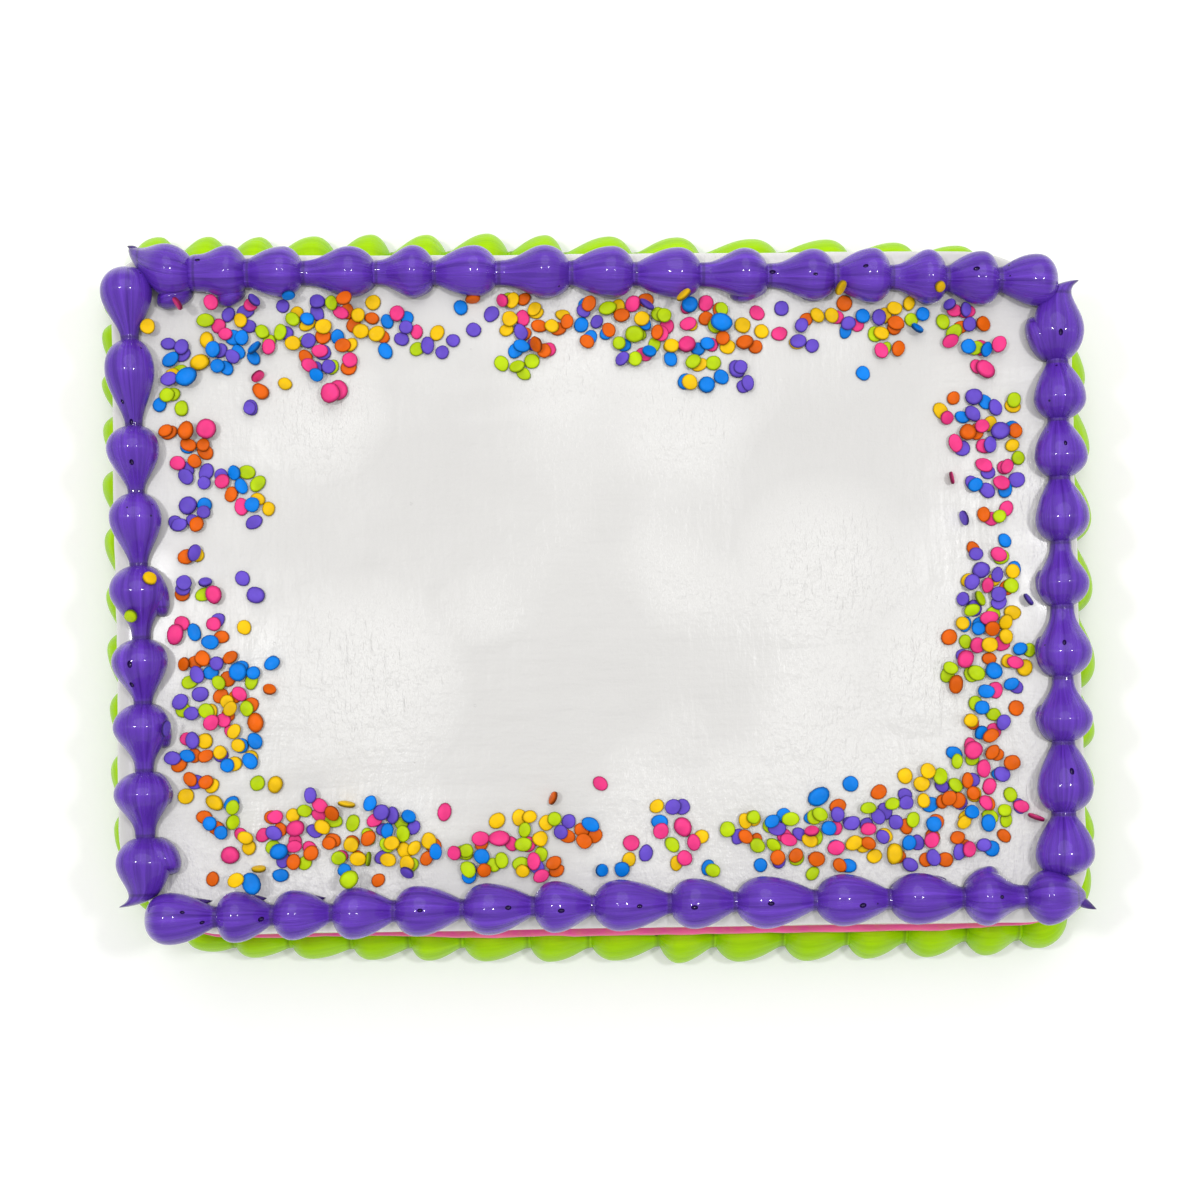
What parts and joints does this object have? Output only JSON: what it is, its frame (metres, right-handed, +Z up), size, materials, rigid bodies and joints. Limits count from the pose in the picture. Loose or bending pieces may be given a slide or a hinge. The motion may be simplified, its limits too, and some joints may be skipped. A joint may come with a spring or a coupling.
{
  "type": "birthday sheet cake",
  "caption": "Iced rectangular birthday sheet cake with piped shell borders round the top edge and the base, a thin side line and confetti sprinkles strewn along the edges of the top.",
  "frame": {"origin": "bottom centre of the whole cake with its borders, on the surface that it rests on", "axes": "+Z up, +X along the long side to the right seen from the front, +Y from the front to the back"},
  "size_m": [0.3604, 0.2676, 0.074],
  "materials": {
    "white_icing": "smoothed white icing with a soft gloss; plastic stands in for icing",
    "purple_icing": "piped purple icing with a wet gloss; plastic stands in for icing",
    "green_icing": "piped lime green icing with a wet gloss; plastic stands in for icing",
    "pink_icing": "piped bright pink icing with a soft gloss; plastic stands in for icing"
  },
  "bodies": {
    "root": {"cake": "white_icing", "top_border_back": "purple_icing", "top_border_left": "purple_icing", "top_border_front": "purple_icing", "top_border_right": "purple_icing", "base_border_back": "green_icing", "base_border_left": "green_icing", "base_border_front": "green_icing", "base_border_right": "green_icing", "side_line": "pink_icing"}
  },
  "joints": []
}
